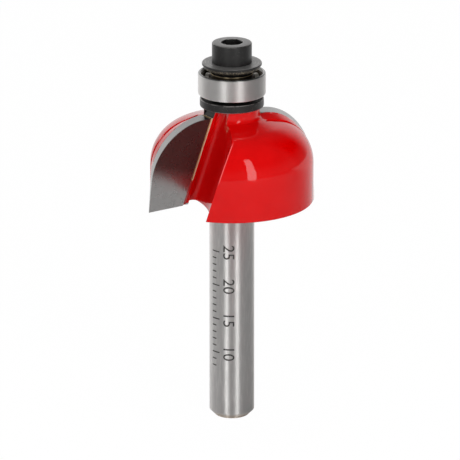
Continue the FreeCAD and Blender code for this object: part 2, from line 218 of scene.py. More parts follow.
def settle(piece):
    """Turn a piece's modifiers into plain mesh."""
    seen = piece.evaluated_get(bpy.context.evaluated_depsgraph_get())
    mesh = bpy.data.meshes.new_from_object(seen)
    piece.modifiers.clear()
    piece.data = mesh


def combine(piece, tool, operation):
    """Join a tool solid to a piece or cut it away, and discard the tool."""
    change = piece.modifiers.new("combine", "BOOLEAN")
    change.operation = operation
    change.solver = "EXACT"
    change.object = tool
    settle(piece)
    bpy.data.objects.remove(tool)


def soften(piece, width, segments=2, sharper_than=28):
    """Round the sharp edges a little."""
    work = bmesh.new()
    work.from_mesh(piece.data)
    bmesh.ops.dissolve_limit(work, angle_limit=math.radians(0.4), verts=work.verts, edges=work.edges)
    work.to_mesh(piece.data)
    work.free()
    change = piece.modifiers.new("soften", "BEVEL")
    change.width = width
    change.segments = segments
    change.limit_method = "ANGLE"
    change.angle_limit = math.radians(sharper_than)
    change.harden_normals = True
    change.use_clamp_overlap = True
    piece.data.shade_smooth()
    settle(piece)


# %% [markdown]
# ## The cutter
# Its blank is one turned profile: chamfered shank, painted head with a round shoulder, hub
# and bearing stub. The dome meets the hub in a small hollow fillet.

# %% Turned blank
dome_end_r = HEAD_R - DOME_R * (1 - math.cos(DOME_END))
fillet_r = HUB_R + HUB_FILLET * (1 - math.cos(DOME_END))
fillet_z = DOME_START + DOME_R * math.sin(DOME_END) + (dome_end_r - fillet_r) / math.tan(DOME_END)
hollow_z = fillet_z + HUB_FILLET * math.sin(DOME_END)
stub_top = BEARING_TOP - STUB_SHORT

blank_path = rounded([
    (0, 0),
    (SHANK_R - SHANK_CHAMFER, 0, 0.12),
    (SHANK_R, SHANK_CHAMFER, 0.2),
    (SHANK_R, HEAD),
    (HEAD_R, HEAD, 0.28),
    (HEAD_R, HEAD + 2),
])
blank_path += arc(HEAD_R - DOME_R, HEAD + DOME_START, DOME_R, 0, DOME_END, 30)
blank_path += [(fillet_r, HEAD + fillet_z)]
blank_path += arc(HUB_R + HUB_FILLET, HEAD + hollow_z, HUB_FILLET, math.pi + DOME_END, math.pi, 8)[1:]
blank_path += [
    (HUB_R, HEAD + HUB_TOP - 0.08),
    (HUB_R - 0.08, HEAD + HUB_TOP),
    (STUB_R, HEAD + HUB_TOP),
    (STUB_R, stub_top - STUB_EDGE),
    (STUB_R - STUB_EDGE, stub_top),
    (0, stub_top),
]
cutter = lathe("painted_cutter", blank_path, turns=200)
print("blank faces:", len(cutter.data.polygons))

# %% [markdown]
# Each wing is a loft through slices parallel to the rake face, which lies behind the axis
# and leans forward as it rises. The first slices follow the cutting form. At the carbide's
# back the slice stands in by the relief, and from there the slices sink step by step until
# the last one lies just under the head. All the forms have the same number of points.

# %% Raised lands
COVE_STEPS, NECK_STEPS, LAND_STEPS = 36, 5, 6


def behind(depth, height):
    """The y of a point at a depth behind the leaning rake face."""
    return RAKE_OFFSET + depth - RAKE_SLOPE * height


def wing_slice(form, depth, low_x, high_x):
    """One slice of a wing: its form laid at a depth behind the rake face."""
    corners = [(-math.sqrt(radius ** 2 - behind(depth, height) ** 2), height) for radius, height in form]
    corners += [(high_x, form[-1][1]), (low_x + LEAN * form[0][1], form[0][1])]
    return [(x, behind(depth, height), HEAD + height) for x, height in corners]


def cutting_form(drop, inset=0.0):
    """The cove's outline, or one that stands in behind it, from below the head upward."""
    form = [(CUT_R, -drop), (CUT_R, COVE_RISE / 2)]
    form += arc(CUT_R - COVE_R, COVE_RISE, COVE_R, 0, COVE_END, COVE_STEPS)
    return [(radius - inset, height) for radius, height in form]


sunk_form = [(HEAD_R - LAND_SINK, -LAND_DROP), (HEAD_R - LAND_SINK, COVE_RISE / 2)]
sunk_form += arc(HEAD_R - DOME_R, DOME_START, DOME_R - LAND_SINK, 0, DOME_END, COVE_STEPS - NECK_STEPS)
neck_r = fillet_r + 0.3
for k in range(1, NECK_STEPS + 1):
    radius = dome_end_r + (neck_r - dome_end_r) * k / NECK_STEPS
    sunk_form.append((radius, sunk_form[-1][1] + 0.1))
relieved_form = cutting_form(LAND_DROP, RELIEF)
land_slices = [(cutting_form(LAND_DROP), -0.3), (cutting_form(LAND_DROP), 0)]
for k in range(LAND_STEPS + 1):
    form = [tuple(Vector(a).lerp(Vector(b), k / LAND_STEPS)) for a, b in zip(relieved_form, sunk_form)]
    land_slices.append((form, TIP_THICKNESS + LAND_THICKNESS * k / LAND_STEPS))
land = loft("land", [wing_slice(form, depth, LIP_X, -HUB_R / 3) for form, depth in land_slices])
other_land = half_turned(land, "land_2")
combine(cutter, land, "UNION")
combine(cutter, other_land, "UNION")
print("with lands:", len(cutter.data.polygons))

# %% [markdown]
# A round crease runs along the line where each land sinks into the head. It is a bent tube
# cut out of the surface, and its ends run out of the metal.

# %% Creases beside the lands
TUBE_SIDES = 12
crease_path = [(HEAD_R, -1.5), (HEAD_R, 0), (HEAD_R, DOME_START / 2)]
crease_path += arc(HEAD_R - DOME_R, DOME_START, DOME_R, 0, DOME_END, 18)
dome_top = crease_path[-1][1]
crease_path += [(dome_end_r - 0.4 * k, dome_top + 0.4 * k / math.tan(DOME_END)) for k in range(1, 6)]
crease_rings = []
for i, (radius, height) in enumerate(crease_path):
    before, after = crease_path[max(0, i - 1)], crease_path[min(i + 1, len(crease_path) - 1)]
    out = Vector((after[1] - before[1], before[0] - after[0])).normalized()
    ring = []
    for k in range(TUBE_SIDES):
        turn = math.tau * k / TUBE_SIDES
        lift = CREASE_LIFT + CREASE_R * math.cos(turn)
        r, h = radius + out.x * lift, height + out.y * lift
        y = behind(CREASE_DEPTH + CREASE_R * math.sin(turn), h)
        ring.append((-math.sqrt(r * r - y * y), y, HEAD + h))
    crease_rings.append(ring)
crease = loft("crease", crease_rings)
other_crease = half_turned(crease, "crease_2")
combine(cutter, crease, "DIFFERENCE")
combine(cutter, other_crease, "DIFFERENCE")
print("with creases:", len(cutter.data.polygons))

# %% [markdown]
# Two milled passes open each wing. The first clears the carbide's seat and a strip in front
# of the rake face. The second runs up at a slant of its own and leaves the channel beside
# the lip, the round wall along the hub and the flat wall of the painted bulge.

# %% Seats and gullets
OUTSIDE = -CUT_R - 3
EDGE_SOFTNESS = 0.14
seat_back = RAKE_OFFSET + TIP_THICKNESS
seat_outline = [
    (OUTSIDE, seat_back),
    (SEAT_X, seat_back),
    (SEAT_X, RAKE_OFFSET),
    (LIP_X, RAKE_OFFSET),
    (LIP_X, RAKE_OFFSET - SEAT_FRONT),
    (OUTSIDE, RAKE_OFFSET - SEAT_FRONT),
]
channel_y = RAKE_OFFSET - LIP_STEP
channel_start, channel_end = (LIP_X, channel_y), (LIP_X + CHANNEL_WIDTH, channel_y)
channel_bed = (LIP_X + CHANNEL_WIDTH / 2, RAKE_OFFSET + CHANNEL_DEPTH)
hub_wall = (-HEAD_R * 0.442, -HEAD_R * 0.062)
bulge_edge = (-HEAD_R * 0.586, -HEAD_R * 0.373)
bulge_rim = (-HEAD_R * 1.043, -HEAD_R * 0.867)
gullet_outline = [(OUTSIDE, channel_y), channel_start]
gullet_outline += arc_through(channel_start, channel_bed, channel_end, 10)
gullet_outline += arc_through(channel_end, hub_wall, bulge_edge, 16)
gullet_outline += [bulge_rim, (OUTSIDE, bulge_rim[1])]
for outline, slope, lean in ((seat_outline, RAKE_SLOPE, LEAN), (gullet_outline, GULLET_SLOPE, GULLET_LEAN)):
    tool = prism("tool", outline, slope, lean, -3, HUB_TOP + 0.7)
    other_tool = half_turned(tool, "tool_2")
    combine(cutter, tool, "DIFFERENCE")
    combine(cutter, other_tool, "DIFFERENCE")
soften(cutter, EDGE_SOFTNESS)
print("finished cutter:", len(cutter.data.polygons), "faces")

# %% [markdown]
# ## Carbide tips and their braze
# A tip is a loft like the land behind it, only thinner and with a keener edge. The braze is
# a slim bar that fills the corner between the tip's inner edge and the milled seat.

# %% Tips and braze
tip_top_x = -TIP_INNER + LEAN * COVE_TOP
tip_1 = loft("ground_tip_1", [
    wing_slice(cutting_form(TIP_DROP, inset), depth, -TIP_INNER, tip_top_x)
    for inset, depth in ((0, 0), (RELIEF, TIP_THICKNESS))
])
soften(tip_1, 0.05)
tip_2 = half_turned(tip_1, "ground_tip_2")
seam_x = -TIP_INNER + 0.01
seam_outline = [
    (seam_x, RAKE_OFFSET + BRAZE_BACK),
    (SEAT_X, RAKE_OFFSET + BRAZE_BACK),
    (SEAT_X, seat_back),
    (seam_x, seat_back),
]
seam_1 = prism("braze_bead_1", seam_outline, RAKE_SLOPE, LEAN, -LAND_DROP, COVE_TOP)
soften(seam_1, 0.06)
seam_2 = half_turned(seam_1, "braze_bead_2")
print("tip faces:", len(tip_1.data.polygons), "braze faces:", len(seam_1.data.polygons))

# %% [markdown]
# ## Spacer, bearing, washer and screw
# All of these come off a lathe, so each one is a path of (radius, height) with its corners
# rounded: a closed path for a ring, and one that starts and ends on the axis for the screw.
# The screw's hexagon is broached after turning: a six-sided bar is cut out of the head, and
# the mouth is countersunk a little.

# %% Spacer and washer
def lifted(path, height):
    """The same path higher up."""
    return [(p[0], p[1] + height, *p[2:]) for p in path]


def even_out(piece):
    """Smooth shading that follows the large faces and leaves the bends to the small ones."""
    piece.data.shade_smooth()
    piece.modifiers.new("even", "WEIGHTED_NORMAL").weight = 100
    settle(piece)


def turned_part(name, path, base):
    """A ring from a closed path above its base, smooth but with its flats kept flat."""
    piece = lathe(name, lifted(path, base), closed=True)
    even_out(piece)
    return piece


collar_bore = STUB_R + 0.01
collar = turned_part("spacer", rounded([
    (collar_bore, 0), (COLLAR_R, 0, 0.14), (COLLAR_R, COLLAR_STEP, 0.16), (BOSS_R, COLLAR_STEP),
    (BOSS_R, COLLAR_HEIGHT), (collar_bore, COLLAR_HEIGHT),
], closed=True), COLLAR_BASE)
washer = turned_part("stepped_washer", rounded([
    (WASHER_BORE, 0), (BOSS_R, 0), (BOSS_R, 0.58), (WASHER_R - 0.4, 0.58, 0.1),
    (WASHER_R - 0.2, 0.78, 0.1), (WASHER_R - 0.2, 1.09), (WASHER_R, 1.09, 0.06),
    (WASHER_R, WASHER_HEIGHT, 0.11), (WASHER_BORE, WASHER_HEIGHT),
], closed=True), BEARING_TOP)
print("spacer and washer faces:", len(collar.data.polygons), len(washer.data.polygons))

# %% Bearing rings
track_r = BALL_R + TRACK_GAP
open_r = track_r * math.cos(math.radians(45))
inner_land, outer_land = PITCH_R - open_r, PITCH_R + open_r
half_width = BEARING_WIDTH / 2

inner_path = rounded([
    (inner_land, -open_r), (inner_land, -half_width, 0.06), (BORE_R, -half_width, 0.2),
    (BORE_R, half_width, 0.2), (inner_land, half_width, 0.06), (inner_land, open_r),
])
inner_path += arc_through((inner_land, open_r), (PITCH_R - track_r, 0), (inner_land, -open_r), 12)[:-1]
inner_ring = turned_part("inner_race", inner_path, BEARING_MID)

shield_r, shield_z = outer_land + SHIELD_STEP, half_width - SHIELD_DEPTH
outer_path = rounded([
    (outer_land, open_r), (outer_land, shield_z, 0.05), (shield_r, shield_z), (shield_r, half_width, 0.05),
    (BEARING_R, half_width, 0.24), (BEARING_R, -half_width, 0.3),
    (shield_r, -half_width, 0.05), (shield_r, -shield_z), (outer_land, -shield_z, 0.05),
    (outer_land, -open_r),
])
outer_path += arc_through((outer_land, -open_r), (PITCH_R + track_r, 0), (outer_land, open_r), 12)[:-1]
outer_ring = turned_part("outer_race", outer_path, BEARING_MID)
print("ring faces:", len(inner_ring.data.polygons), len(outer_ring.data.polygons))

# %% Screw
screw = lathe("socket_screw", lifted(rounded([
    (0, -SCREW_LENGTH), (SCREW_R - SCREW_POINT, -SCREW_LENGTH), (SCREW_R, SCREW_POINT - SCREW_LENGTH),
    (SCREW_R, 0), (SCREW_HEAD_R, 0, 0.08), (SCREW_HEAD_R, SCREW_HEIGHT, 0.2), (0, SCREW_HEIGHT),
]), WASHER_TOP))
corner_r = HEX_HALF / math.cos(math.radians(30))
corner_angles = [math.radians(degrees) for degrees in range(-30, 330, 60)]
hexagon = [(corner_r * math.cos(a), corner_r * math.sin(a)) for a in corner_angles]
broach_ends = (WASHER_TOP + HEX_FLOOR, SCREW_TOP + 0.3)
broach = loft("broach", [[(x, y, z) for x, y in hexagon] for z in broach_ends])
countersink = lathe("countersink", lifted([
    (0, 2.7), (HEX_HALF, 2.76), (1.52, 2.9), (1.63, 3.03), (1.63, 3.1), (0, 3.1),
], WASHER_TOP))
combine(screw, broach, "DIFFERENCE")
combine(screw, countersink, "DIFFERENCE")
soften(screw, 0.03, sharper_than=20)
print("screw faces:", len(screw.data.polygons))

# %% [markdown]
# ## Node trees written as sums
# The materials and the geometry trees below are long chains of arithmetic. Written as nodes
# they are hard to read, so a small class wraps a socket: adding or multiplying two wrapped
# sockets makes the Math node, and one method makes every other node.

# %% Wrapped sockets
class Value:
    """A socket of a graph. Arithmetic on it adds Math nodes."""

    def __init__(self, graph, socket):
        self.graph = graph
        self.socket = socket

    def math(self, operation, *terms):
        return self.graph.node("ShaderNodeMath", {"operation": operation}, terms)

    def __add__(self, other):
        return self.math("ADD", self, other)

    def __radd__(self, other):
        return self.math("ADD", other, self)

    def __sub__(self, other):
        return self.math("SUBTRACT", self, other)

    def __rsub__(self, other):
        return self.math("SUBTRACT", other, self)

    def __mul__(self, other):
        return self.math("MULTIPLY", self, other)

    def __rmul__(self, other):
        return self.math("MULTIPLY", other, self)

    def __truediv__(self, other):
        return self.math("DIVIDE", self, other)

    def __pow__(self, other):
        return self.math("POWER", self, other)

    def __neg__(self):
        return self.math("MULTIPLY", self, -1)

    def __abs__(self):
        return self.math("ABSOLUTE", self)

    def above(self, low, high=None):
        """0 below low and 1 above high, with a soft step between them."""
        if high is None:
            return self.math("GREATER_THAN", self, low)
        return self.graph.node("ShaderNodeMapRange", {"interpolation_type": "SMOOTHSTEP"}, [self, low, high])

    def most(self, other):
        return self.math("MAXIMUM", self, other)


class Graph:
    """A node tree whose nodes are all made by one method."""

    def __init__(self, tree):
        self.tree = tree

    def node(self, kind, settings=None, sockets=(), output=0):
        """Make a node: its settings first, then the value or link of each socket."""
        made = self.tree.nodes.new(kind)
        for name, setting in (settings or {}).items():
            setattr(made, name, setting)
        for key, value in (sockets.items() if isinstance(sockets, dict) else enumerate(sockets)):
            if isinstance(value, Value):
                self.tree.links.new(value.socket, made.inputs[key])
            else:
                made.inputs[key].default_value = value
        return Value(self, made.outputs[output]) if made.outputs else made

    def vector(self, x, y, z):
        return self.node("ShaderNodeCombineXYZ", sockets=[x, y, z])


# %% [markdown]
# ## Balls
# The eight balls repeat round a circle, so Geometry Nodes makes them: one point for each
# ball, a sphere on it, and a switch that keeps the ball of one body. The tree is run once
# for every ball, because each of them rolls about an axis of its own.

# %% Geometry trees
def new_tree(name, counts, sizes):
    """A geometry tree with its number inputs, as a graph and a dictionary of those inputs."""
    tree = bpy.data.node_groups.new(name, "GeometryNodeTree")
    tree.interface.new_socket("Geometry", in_out="OUTPUT", socket_type="NodeSocketGeometry")
    tree.interface.new_socket("Geometry", in_out="INPUT", socket_type="NodeSocketGeometry")
    for count in counts:
        tree.interface.new_socket(count, in_out="INPUT", socket_type="NodeSocketInt")
    for size in sizes:
        tree.interface.new_socket(size, in_out="INPUT", socket_type="NodeSocketFloat")
    tree.interface.new_socket("Finish", in_out="INPUT", socket_type="NodeSocketMaterial")
    graph = Graph(tree)
    inputs = tree.nodes.new("NodeGroupInput")
    return graph, {s.name: Value(graph, s) for s in inputs.outputs if s.name}


def close_tree(graph, given, instances, change=None):
    """End a tree: real geometry, an optional change of shape, and the finish."""
    shape = graph.node("GeometryNodeRealizeInstances", sockets=[instances])
    if change:
        shape = graph.node("GeometryNodeSetPosition", sockets={"Geometry": shape, "Position": change})
    shape = graph.node("GeometryNodeSetMaterial", sockets={"Geometry": shape, "Material": given["Finish"]})
    graph.node("NodeGroupOutput", sockets=[shape])


def grown(name, graph, values):
    """Run a tree with these input values and keep the result as a plain mesh."""
    piece = bpy.data.objects.new(name, bpy.data.meshes.new(name))
    bpy.context.collection.objects.link(piece)
    change = piece.modifiers.new("grow", "NODES")
    change.node_group = graph.tree
    for item in graph.tree.interface.items_tree:
        if item.in_out == "INPUT" and item.name in values:
            change[item.identifier] = values[item.name]
    settle(piece)
    return piece


# %% Tree for the balls
ball_graph, given = new_tree(
    "ball_row", ["Count", "Number"], ["Pitch radius", "Ball radius", "Lead", "Height"],
)
circle = ball_graph.node("GeometryNodeMeshCircle", sockets={
    "Vertices": given["Count"], "Radius": given["Pitch radius"],
})
spots = ball_graph.node("GeometryNodeTransform", sockets={
    "Geometry": circle,
    "Translation": ball_graph.vector(0.0, 0.0, given["Height"]),
    "Rotation": ball_graph.vector(0.0, 0.0, given["Lead"]),
})
sphere = ball_graph.node("GeometryNodeMeshUVSphere", sockets=[40, 20, given["Ball radius"]])
sphere = ball_graph.node("GeometryNodeSetShadeSmooth", sockets=[sphere])
chosen = ball_graph.node("FunctionNodeCompare", {"data_type": "INT", "operation": "EQUAL"}, {
    2: ball_graph.node("GeometryNodeInputIndex"), 3: given["Number"],
})
balls = ball_graph.node("GeometryNodeInstanceOnPoints", sockets=[spots, chosen, sphere])
close_tree(ball_graph, given, balls)
print("ball tree:", len(ball_graph.tree.nodes), "nodes")

# %% [markdown]
# ## Depth marks on the shank
# The shank carries a plain scale of how deep it sits in a collet: a tick for each
# millimetre, a longer one for every fifth, and numbers beside the long ones. The ticks
# repeat along the shank, so a second tree lays them out flat and then wraps them round it.

# %% Tree for the ticks
tick_graph, given = new_tree("tick_row", ["Count", "First", "Every"], ["Length", "Width", "Radius", "Lead"])
column = tick_graph.node("GeometryNodeMeshLine", sockets=[given["Count"]])
number = given["First"] + tick_graph.node("GeometryNodeInputIndex")
tall = 1 - (number.math("MODULO", number, given["Every"])).above(0.5)
strip = tick_graph.node("GeometryNodeMeshGrid", sockets=[1.0, 1.0, 9, 2])
strip = tick_graph.node("GeometryNodeTransform", sockets={"Geometry": strip, "Translation": (0.5, 0, 0)})
ticks = tick_graph.node("GeometryNodeInstanceOnPoints", sockets={
    "Points": tick_graph.node("GeometryNodeSetPosition", sockets={
        "Geometry": column, "Position": tick_graph.vector(0.0, 0.0, number),
    }),
    "Instance": strip,
    "Scale": tick_graph.vector(given["Length"] * (1 + tall * 0.7), given["Width"], 1.0),
})
flat = tick_graph.node("GeometryNodeInputPosition")
flat_x, flat_y, flat_z = (
    tick_graph.node("ShaderNodeSeparateXYZ", sockets=[flat], output=axis) for axis in range(3)
)
turn = given["Lead"] + flat_x / given["Radius"]
close_tree(tick_graph, given, ticks, tick_graph.vector(
    given["Radius"] * turn.math("COSINE", turn), given["Radius"] * turn.math("SINE", turn), flat_z + flat_y,
))
print("tick tree:", len(tick_graph.tree.nodes), "nodes")

# %% Numbers wrapped round the shank
CAMERA_SIDE = math.radians(-124.4)
MARK_R = SHANK_R + 0.006


def wrapped_number(text, size, lead, height):
    """A number cut into narrow strips, turned to read downwards and laid round the shank."""
    letters = bpy.data.curves.new("number", "FONT")
    letters.body = text
    letters.size = size
    letters.align_x = "CENTER"
    letters.align_y = "CENTER"
    holder = bpy.data.objects.new("number", letters)
    bpy.context.collection.objects.link(holder)
    mesh = bpy.data.meshes.new_from_object(holder.evaluated_get(bpy.context.evaluated_depsgraph_get()))
    bpy.data.objects.remove(holder)
    work = bmesh.new()
    work.from_mesh(mesh)
    for k in range(-6, 7):
        everything = work.verts[:] + work.edges[:] + work.faces[:]
        bmesh.ops.bisect_plane(work, geom=everything, plane_co=(0, k * 0.15, 0), plane_no=(0, 1, 0))
    for vert in work.verts:
        turn = lead + vert.co.y / MARK_R
        vert.co = Vector((MARK_R * math.cos(turn), MARK_R * math.sin(turn), height - vert.co.x))
    bmesh.ops.triangulate(work, faces=work.faces)
    work.to_mesh(mesh)
    work.free()
    piece = bpy.data.objects.new(f"depth_number_{text}", mesh)
    bpy.context.collection.objects.link(piece)
    return piece


numbers = [
    wrapped_number(str(height), 2.3, CAMERA_SIDE + math.radians(-9.8), height) for height in (10, 15, 20, 25)
]
print("numbers:", [len(piece.data.polygons) for piece in numbers])

# %% [markdown]
# ## Finishes
# Every finish reads the place on the object in millimetres, so its grain has a real size.
# A finish is a graph on a material, with helpers for noise, bump and the final surface.

# %% Finish helpers
class Finish(Graph):
    """A material's graph, with the place in millimetres at hand."""

    def __init__(self, name):
        self.material = bpy.data.materials.new(name)
        self.material.use_nodes = True
        super().__init__(self.material.node_tree)
        self.tree.nodes.clear()
        here = self.node("ShaderNodeTexCoord", output="Object")
        self.place = self.node("ShaderNodeVectorMath", {"operation": "SCALE"}, {0: here, "Scale": 1 / MM})
        self.x, self.y, self.z = (
            self.node("ShaderNodeSeparateXYZ", sockets=[self.place], output=axis) for axis in range(3)
        )
        self.radius = (self.x * self.x + self.y * self.y) ** 0.5

    def noise(self, size, detail=2.0, stretch=(1, 1, 1)):
        """Soft noise from 0 to 1 whose blotches are about this many millimetres across."""
        spread = self.node("ShaderNodeVectorMath", {"operation": "MULTIPLY"}, [self.place, stretch])
        return self.node("ShaderNodeTexNoise", sockets={
            "Vector": spread, "Scale": 1 / size, "Detail": detail,
        })

    def turning_lines(self, size, along=0.0):
        """Noise in rings round the axis, which the lathe or the grinding wheel leaves."""
        return self.node("ShaderNodeTexNoise", sockets={
            "Vector": self.vector(self.radius, 0.0, self.z * along), "Scale": 1 / size, "Detail": 2.0,
        })

    def on_wing(self):
        """Height on the head, the side of the axis (-1 or 1), and the depth behind the rake face."""
        height = self.z - HEAD
        side = self.x.math("SIGN", self.x)
        return height, side, height * RAKE_SLOPE - side * self.y - RAKE_OFFSET

    def tint(self, first, second, factor):
        """A colour between two others."""
        return self.node("ShaderNodeMix", {"data_type": "RGBA"}, {0: factor, 6: first, 7: second}, 2)

    def bump(self, height):
        """A normal for a height in millimetres."""
        return self.node("ShaderNodeBump", sockets={"Strength": 1.0, "Distance": MM, "Height": height})

    def near_ring(self, radius, height, width):
        """1 on a circle round the axis, fading to 0 at this distance from it."""
        across, along = self.radius - radius, self.z - height
        return 1 - ((across * across + along * along) ** 0.5).above(width * 0.2, width)

    def surface(self, **sockets):
        """The finished surface. Names are the shader's own, with _ for a space."""
        named = {name.replace("_", " "): value for name, value in sockets.items()}
        shader = self.node("ShaderNodeBsdfPrincipled", sockets=named)
        self.node("ShaderNodeOutputMaterial", sockets=[shader])
        return self.material


def grey(level, warmth=0.0):
    """A grey, a little warmer or cooler."""
    return (level * (1 + warmth), level, level * (1 - warmth), 1)


# %% [markdown]
# ### Cutter: enamel and ground steel
# The cutter is one piece of steel. The head was sprayed red and baked, and the shank and
# stub were ground bare. A mask by height and seat position divides the two finishes. The
# enamel has a faint orange peel and a painted highlight in pale red along the bulge's edge,
# and the grinding left fine lines round the shank. The foot is painted a light brown, a
# painted reflection of the floor, and the bare steel at the top of each seat is painted
# near black, a painted shade under the spacer.

# %% Enamel and shank steel
def bulge_edge_mask(finish, height, side):
    """1 along the edge where the gullet's flat wall leaves the dome, where a highlight is painted, and 0
    elsewhere.
    """
    along_wall = (Vector(bulge_rim) - Vector(bulge_edge)).normalized()
    flat_x = side * finish.x * -1 - height * GULLET_LEAN - bulge_edge[0]
    flat_y = side * finish.y * -1 + height * GULLET_SLOPE - bulge_edge[1]
    from_wall = flat_x * -along_wall.y + flat_y * along_wall.x
    edge = from_wall.above(0.0, 0.04) * (1 - from_wall.above(0.12, 0.2)) * finish.radius.above(6.5, 7.5)
    return edge * height.above(5.2, 6.5) * (1 - height.above(10.4, 11))


def cutter_finish():
    finish = Finish("red_enamel_and_ground_steel")
    height, side, depth = finish.on_wing()
    across = -abs(finish.x) - height * LEAN
    seat = (1 - across.above(SEAT_X, SEAT_X + 0.05)) * depth.above(-SEAT_FRONT - 0.1, -SEAT_FRONT)
    seat = seat * (1 - depth.above(TIP_THICKNESS + 0.02, TIP_THICKNESS + 0.06))
    # the top of each seat is bare steel, without enamel
    bare_shaded_seat = seat * height.above(COVE_TOP - 0.15, COVE_TOP - 0.05)
    edge_wobble = (finish.noise(0.6) - 0.5) * 0.12
    painted = (height + edge_wobble).above(-0.16, -0.1) * (1 - height.above(HUB_TOP - 0.03, HUB_TOP - 0.01))
    painted = painted * (1 - bare_shaded_seat)

    red = finish.tint((0.60, 0.001, 0.0012, 1), (0.70, 0.0025, 0.003, 1), finish.noise(2.6))
    # painted highlight: the enamel is painted pale red along the bulge's edge
    red = finish.tint(red, (0.86, 0.14, 0.14, 1), bulge_edge_mask(finish, height, side) * 0.8)
    blotch = finish.noise(1.1, 3, (1, 1, 0.35))
    streak = finish.noise(0.25, 3, (1, 1, 0.12))
    # painted reflection: the foot of the shank is tinted a light brown in place of light from the floor
    floor_lit_foot = 1 - finish.z.above(0.2, 1.0)
    steel = finish.tint(grey(0.74, 0.02), grey(0.86, 0.015), blotch)
    steel = finish.tint(steel, grey(0.95, 0.02), streak.above(0.45, 0.75) * 0.7)
    steel = finish.tint(steel, (0.74, 0.62, 0.50, 1), floor_lit_foot * 0.7)
    # painted shade: the bare steel at the top of each seat is darkened to near black, as shade under the
    # spacer
    steel = finish.tint(steel, grey(0.04), bare_shaded_seat * 0.9)

    peel = finish.noise(0.75, 1) * 0.006 + finish.noise(0.26, 2) * 0.0022
    grinding = finish.noise(0.05, 2, (0.02, 0.02, 1)) * 0.0035 + finish.noise(0.4, 1, (0.1, 0.1, 1)) * 0.002
    return finish.surface(
        Base_Color=finish.tint(steel, red, painted),
        Metallic=1 - painted,
        Roughness=painted * 0.05 + (1 - painted) * (0.47 + blotch * 0.1),
        IOR=1.4,
        Anisotropic=0.95,
        Anisotropic_Rotation=0.25,
        Normal=finish.bump(peel * painted + grinding * (1 - painted)),
    )


# %% [markdown]
# ### Carbide and braze
# Carbide is ground with a diamond wheel, which leaves fine straight lines and a dark grey
# mirror-like face; toward the hub the face is painted darker and browner, a painted dark
# reflection of the gullet wall. The silver solder beside it is dull and a little brown from
# the torch, and near the head's foot the enamel has covered it.

# %% Carbide and braze
def carbide_finish():
    finish = Finish("ground_carbide")
    tone = finish.noise(0.9, 3)
    lines = finish.noise(0.06, 2, (1, 0.05, 0.12))
    height, _, depth = finish.on_wing()
    face = 1 - depth.above(0.05, 0.15)
    # painted reflection: the face is darkened and browned toward the hub in place of the dark gullet wall it
    # mirrors
    gullet_reflection = face * (height + abs(finish.x) * -0.25).above(0.6, 4.0)
    ground_face = finish.tint(grey(0.42, 0.02), grey(0.52, 0.01), tone)
    ground = finish.tint(grey(0.24, 0.02), ground_face, face)
    return finish.surface(
        Base_Color=finish.tint(ground, (0.13, 0.115, 0.108, 1), gullet_reflection),
        Metallic=1 - gullet_reflection * 0.14,
        Roughness=0.22 + tone * 0.08 + lines * 0.05,
        Normal=finish.bump(lines * 0.0004),
    )


def braze_finish():
    finish = Finish("silver_braze")
    height = finish.z - HEAD
    inward = abs(finish.x) * -1 - height * LEAN + TIP_INNER
    bare = height.above(3.1, 3.5)
    lumps = finish.noise(0.3, 3)
    pale = (inward + lumps * 0.2).above(0.26, 0.36)
    metal = finish.tint((0.44, 0.28, 0.12, 1), (0.80, 0.70, 0.48, 1), pale)
    return finish.surface(
        Base_Color=finish.tint((0.45, 0.02, 0.02, 1), metal, bare),
        Metallic=bare * 0.15,
        Roughness=0.45 + lumps * 0.15,
        Coat_Weight=1 - bare,
        Coat_Roughness=0.06,
        Normal=finish.bump(lumps * 0.03),
    )


# %% [markdown]
# ### Black oxide and bearing steel
# The screw, washer and spacer are steel with an oiled black oxide skin, worn to bright
# metal along their outer edges, painted a lighter grey on top as a painted sheen, and brown
# with grit where the washer meets the bearing. The bearing is hardened steel, ground round
# its axis, with painted shade darkening its inside.

# %% Oxide and bearing finishes
def oxide_finish(name, worn_rings, top, brown=(0, 0)):
    """Black oxide on a turned part, worn along circles given as (radius, height).

    The face at the top is painted a lighter grey as a painted sheen, and between the two brown heights the
    skin has gone brown.
    """
    finish = Finish(name)
    skin = finish.noise(0.5, 4)
    specks = finish.noise(0.12, 2).above(0.68, 0.74)
    wear = finish.near_ring(*worn_rings[0], 0.12)
    for ring in worn_rings[1:]:
        wear = wear.most(finish.near_ring(*ring, 0.12))
    wear = wear * finish.noise(0.8, 2).above(0.35, 0.6)
    stain = finish.z.above(brown[0], brown[0] + 0.05) * (1 - finish.z.above(brown[1] - 0.05, brown[1]))
    grit = finish.noise(0.16, 3).above(0.42, 0.72)
    rust = finish.tint((0.008, 0.007, 0.005, 1), (0.28, 0.23, 0.16, 1), grit)
    colour = finish.tint(grey(0.008, 0.04), grey(0.018, 0.05), skin)
    # painted sheen: the top face is painted a lighter grey
    colour = finish.tint(colour, grey(0.24, 0.02), finish.z.above(top - 0.06, top - 0.02))
    colour = finish.tint(colour, rust, stain)
    colour = finish.tint(colour, grey(0.42, 0.04), (wear * 0.8).most(specks * 0.45))
    return finish.surface(
        Base_Color=colour,
        Metallic=0.55 + wear * 0.4,
        Roughness=0.42 + skin * 0.12 - wear * 0.06,
        Specular_IOR_Level=0.6,
        Coat_Weight=0.32,
        Coat_Roughness=0.36,
        Normal=finish.bump(finish.turning_lines(1 / 9, 0.6) * 0.006 + skin * 0.002),
    )


